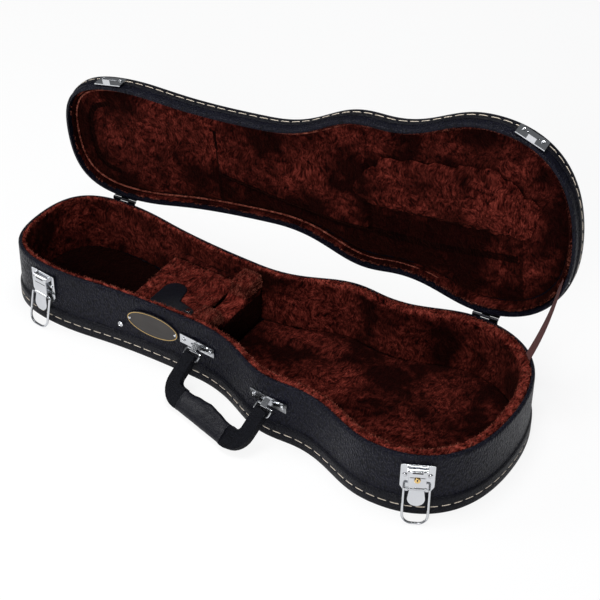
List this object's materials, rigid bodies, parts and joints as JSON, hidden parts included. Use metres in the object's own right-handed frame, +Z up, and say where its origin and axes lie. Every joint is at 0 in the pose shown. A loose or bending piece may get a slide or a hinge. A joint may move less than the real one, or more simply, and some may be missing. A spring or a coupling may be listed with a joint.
{
  "type": "ukulele_case",
  "caption": "open shaped hard case for a concert ukulele, black textured shell, chrome draw latches, swinging grip handle and dark red plush lining",
  "frame": {"origin": "middle of the tray's flat bottom face, on the surface that the case stands on", "axes": "+X points to the wide tail end, -Y to the side with the handle and latches, +Z up"},
  "size_m": [0.6645, 0.306, 0.3336],
  "materials": {
    "leatherette": "pebbled satin",
    "binding": "smooth satin, stitched",
    "plush": "short pile",
    "chrome": "polished",
    "black_steel": "blackened",
    "brass": "polished",
    "handle_plastic": "pebbled",
    "tab_leather": "smooth",
    "badge_face": "satin",
    "ribbon": "woven"
  },
  "bodies": {
    "tray": {"badge_pin_1": "chrome", "badge_pin_2": "chrome", "badge_plate": "badge_face", "body_floor_padding": "plush", "bracket_head_screw_1": "chrome", "bracket_head_screw_2": "chrome", "bracket_tail_screw_1": "chrome", "bracket_tail_screw_2": "chrome", "compartment_partition": "plush", "compartment_shelf": "plush", "handle_bracket_head": "chrome", "handle_bracket_tail": "chrome", "head_floor_padding": "plush", "hinge_head_pin": "black_steel", "hinge_head_tray_leaf": "black_steel", "hinge_tail_pin": "black_steel", "hinge_tail_tray_leaf": "black_steel", "keeper_stud": "chrome", "latch_head_base": "chrome", "latch_head_pin": "chrome", "latch_head_rivet_1": "chrome", "latch_head_rivet_2": "chrome", "latch_tail_base": "chrome", "latch_tail_pin": "chrome", "latch_tail_rivet_1": "chrome", "latch_tail_rivet_2": "chrome", "neck_cradle": "plush", "stay_ribbon": "ribbon", "tray_band": "binding", "tray_floor": "leatherette", "tray_wall": "leatherette", "tray_wall_padding": "plush"},
    "lid": {"catch_head_plate": "chrome", "catch_head_screw_1": "chrome", "catch_head_screw_2": "chrome", "catch_tail_plate": "chrome", "catch_tail_screw_1": "chrome", "catch_tail_screw_2": "chrome", "hinge_head_lid_leaf": "black_steel", "hinge_tail_lid_leaf": "black_steel", "lid_band": "binding", "lid_pad": "plush", "lid_panel": "leatherette", "lid_roof_padding": "plush", "lid_wall": "leatherette", "lid_wall_padding": "plush"},
    "handle": {"handle_grip": "handle_plastic", "handle_ring_head": "chrome", "handle_ring_tail": "chrome", "handle_strap": "handle_plastic"},
    "compartment_lid": {"compartment_lid": "plush", "pull_tab": "tab_leather", "pull_tab_snap": "chrome"},
    "lever_head": {"latch_head_lever": "chrome"},
    "bail_head": {"latch_head_bail": "chrome"},
    "lever_tail": {"latch_tail_lever": "chrome"},
    "bail_tail": {"latch_tail_bail": "chrome"},
    "lock": {"lock_barrel": "brass"}
  },
  "joints": [
    {"name": "lid_hinge", "type": "hinge", "parent": "tray", "child": "lid", "pos_m": [-0.00019, 0.10488, 0.0803], "axis": [0.9954, 0.0954, 0], "range_deg": [0, 88.7], "deforming": ["stay_ribbon"]},
    {"name": "handle_swing", "type": "hinge", "parent": "tray", "child": "handle", "pos_m": [0.01999, -0.09093, 0.048], "axis": [-0.9661, 0.2583, 0], "range_deg": [0, 110]},
    {"name": "compartment_lid_hinge", "type": "hinge", "parent": "tray", "child": "compartment_lid", "pos_m": [-0.10899, 0.0508, 0.056], "axis": [1, 0, 0], "range_deg": [-75, 0]},
    {"name": "latch_head_lever_pivot", "type": "hinge", "parent": "tray", "child": "lever_head", "pos_m": [-0.25245, -0.08357, 0.0655], "axis": [0.9961, -0.0879, 0], "range_deg": [-150, 0]},
    {"name": "latch_head_bail_pivot", "type": "hinge", "parent": "lever_head", "child": "bail_head", "pos_m": [-0.25262, -0.08546, 0.0423], "axis": [-0.9961, 0.0879, 0], "range_deg": [0, 166.81]},
    {"name": "latch_tail_lever_pivot", "type": "hinge", "parent": "tray", "child": "lever_tail", "pos_m": [0.27331, -0.11719, 0.0655], "axis": [0.8881, 0.4596, 0], "range_deg": [-150, 0]},
    {"name": "latch_tail_bail_pivot", "type": "hinge", "parent": "lever_tail", "child": "bail_tail", "pos_m": [0.27418, -0.11888, 0.0423], "axis": [-0.8881, -0.4596, 0], "range_deg": [0, 166.81]},
    {"name": "lock_turn", "type": "hinge", "parent": "lever_tail", "child": "lock", "pos_m": [0.27147, -0.11364, 0.055], "axis": [0.4596, -0.8881, 0], "range_deg": [0, 90]}
  ]
}
